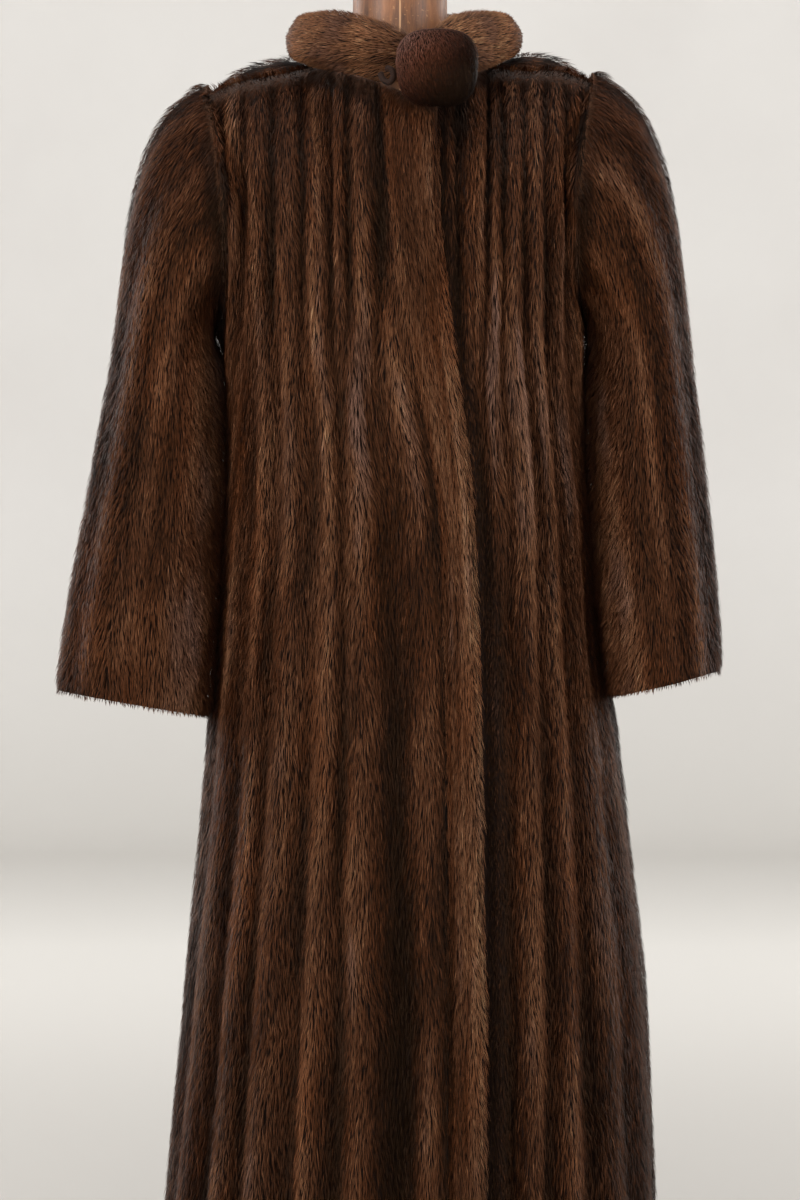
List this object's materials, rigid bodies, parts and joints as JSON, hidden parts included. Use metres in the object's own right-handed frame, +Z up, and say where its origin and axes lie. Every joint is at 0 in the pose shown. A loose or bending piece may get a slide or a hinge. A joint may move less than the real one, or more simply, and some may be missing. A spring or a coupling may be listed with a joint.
{
  "type": "fur coat on a dress form",
  "caption": "Full-length fur coat with a rolled collar, fur button and overlapping front, hung on a limbless dress form with a pole and round base.",
  "frame": {"origin": "centre of the stand base's underside, on the floor", "axes": "+Z up, -Y towards the coat's front, +X towards the wearer's left"},
  "size_m": [0.6941, 0.465, 1.502],
  "materials": {
    "fur_body": "brown fur pile running down, with grooves between narrow pelts",
    "fur_border": "lighter brown fur pile",
    "fur_sleeve": "brown fur pile running down the sleeve",
    "fur_collar": "brown fur pile running round the neck",
    "fur_button": "dark brown fur",
    "loop_cord": "matt dark cord",
    "form_cover": "worn, varnished tan leather with fine scratches",
    "stand_metal": "satin black"
  },
  "bodies": {
    "root": {"coat_back": "fur_body", "coat_front_right": "fur_body", "front_border": "fur_border", "coat_front_left": "fur_body", "sleeve_left": "fur_sleeve", "sleeve_right": "fur_sleeve", "collar": "fur_collar", "fur_button": "fur_button", "button_loop": "loop_cord", "form_torso": "form_cover", "form_pole": "stand_metal", "form_base": "stand_metal"}
  },
  "joints": []
}
